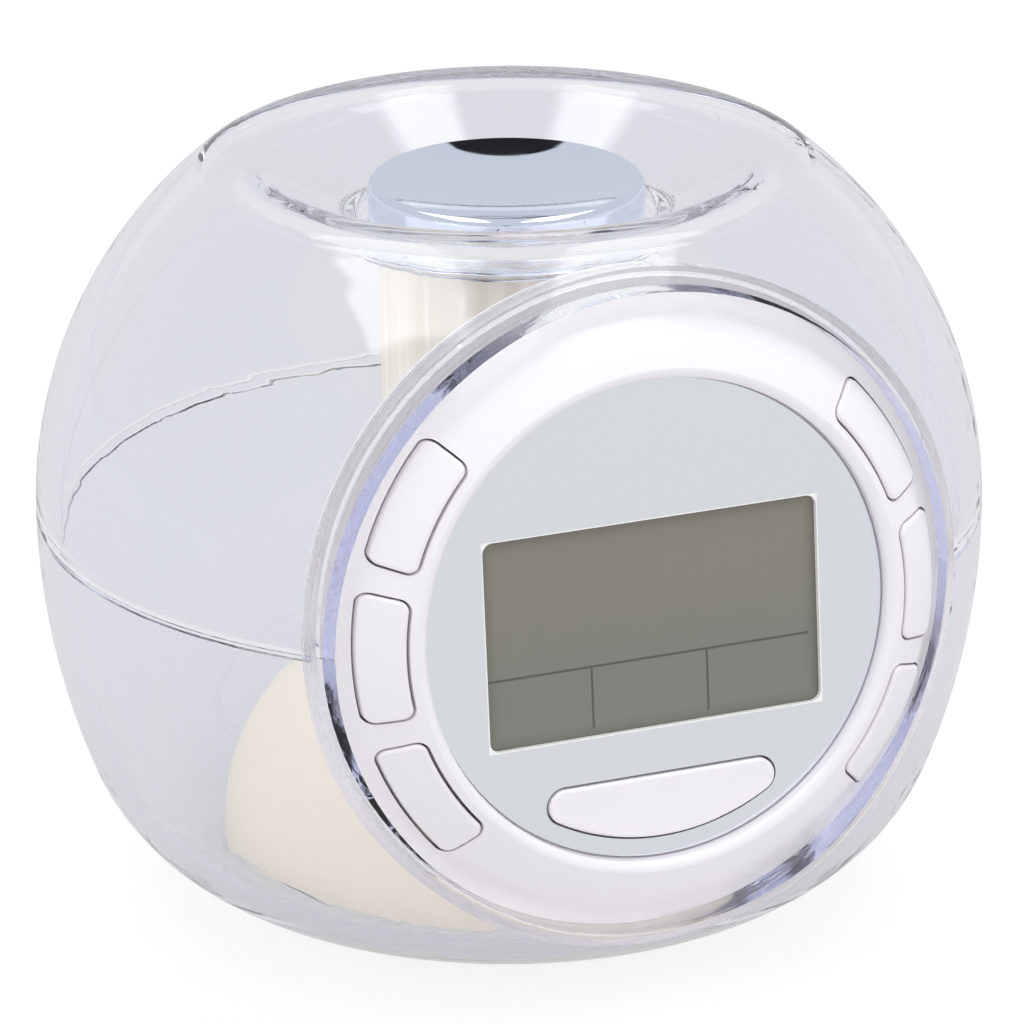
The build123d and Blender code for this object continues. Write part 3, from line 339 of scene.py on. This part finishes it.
floor_size = 4
bpy.ops.mesh.primitive_plane_add(size=floor_size)
floor = bpy.context.object
floor.name = "floor"
floor_look, floor_shader, place = substance("floor", (0.130, 0.132, 0.136), 0.6)
seen_level, metal_level, matt_level, inside_level = 0.84, 0.53, 0.73, 0.55
lost_in_glass = (0.08, 0.075, 0.035)
ray = place.node("ShaderNodeLightPath")
matt = bounced(ray)
inside = matt * bounced(ray, "Transmission Depth")
in_metal = Wire(ray.tree, ray.socket.node.outputs["Is Glossy Ray"])
in_glass = Wire(ray.tree, ray.socket.node.outputs["Is Transmission Ray"])
glow = ray * seen_level + in_metal * metal_level + matt * matt_level + inside * inside_level
channels = {channel: glow - in_glass * loss for channel, loss in enumerate(lost_in_glass)}
floor_shader.inputs["Emission Strength"].default_value = 1.0
join(floor_shader, Emission_Color=glow.node("ShaderNodeCombineColor", channels))
floor.data.materials.append(floor_look)

world = bpy.data.worlds.new("studio")
world.use_nodes = True
bpy.context.scene.world = world
tree = world.node_tree
direction = Wire(tree, tree.nodes.new("ShaderNodeTexCoord").outputs["Generated"])
seen = direction.node("ShaderNodeLightPath")
aside = direction.along(level)
ahead = direction.along((-sin(azimuth), cos(azimuth), 0))
height = direction.along((0, 0, 1))
overhead = height.ramp(0.02, 0.05)

# The boxes and the gap lie on a ceiling at a height of one, a little crumpled.
box_place, box_half, box_edge = 0.40, 0.20, 0.06
box_reach, box_end = 0.44, 0.08
crumple = (direction.noise(9.0, 4.0) - 0.5) * 0.12
boxes = 1 - abs(abs(aside / height + crumple) - box_place).ramp(box_half, box_half + box_edge)
boxes = boxes * (1 - abs(ahead / height + crumple).ramp(box_reach, box_reach + box_end)) * overhead
gap_place, gap_half, gap_depth = 1.16, 0.14, 0.25
gap_side, gap_rise = aside / height / gap_half, (ahead / height - gap_place) / gap_depth
gap = (1 - (gap_side * gap_side + gap_rise * gap_rise).ramp(0.9, 1.1)) * overhead

# The camera's dark lens shows in the mirror and the chrome.
lens_half, lens_height = 0.05, 0.07
lens_side, lens_rise = aside / lens_half, (height - sin(elevation)) / lens_height
behind = 1 - ahead.ramp(-0.1, -0.05)
lens = (1 - (lens_side * lens_side + lens_rise * lens_rise).ramp(0.8, 1.2)) * behind

# The tent's level, and what is added in the boxes, on matt surfaces and through glass.
tent_level, box_level, matt_added, through_added, inside_added = 0.70, 2.5, 0.34, 0.14, 0.23
gap_dark, lens_dark = 0.97, 0.9
matt, through = bounced(seen), bounced(seen, "Transmission Depth")
direct = 1 - through
tent = tent_level + boxes * box_level + matt * matt_added + through * through_added
tent = tent + matt * through * inside_added
lit = tent * (1 - gap * direct * gap_dark) * (1 - lens * direct * lens_dark)
strength = seen.node("ShaderNodeMix", {"Factor": seen, 2: lit, 3: 1.0}, data_type="FLOAT")
background = tree.nodes["Background"]
tree.links.new(strength.socket, background.inputs["Strength"])
tree.links.new(seen.mix((0.96, 0.98, 1.0), (1.0, 1.0, 1.0)).socket, background.inputs["Color"])

# Light runs to and fro in the clear walls many times before it leaves them.
wall_bounces = 40
cycles = bpy.context.scene.cycles
cycles.max_bounces = cycles.transmission_bounces = cycles.glossy_bounces = wall_bounces
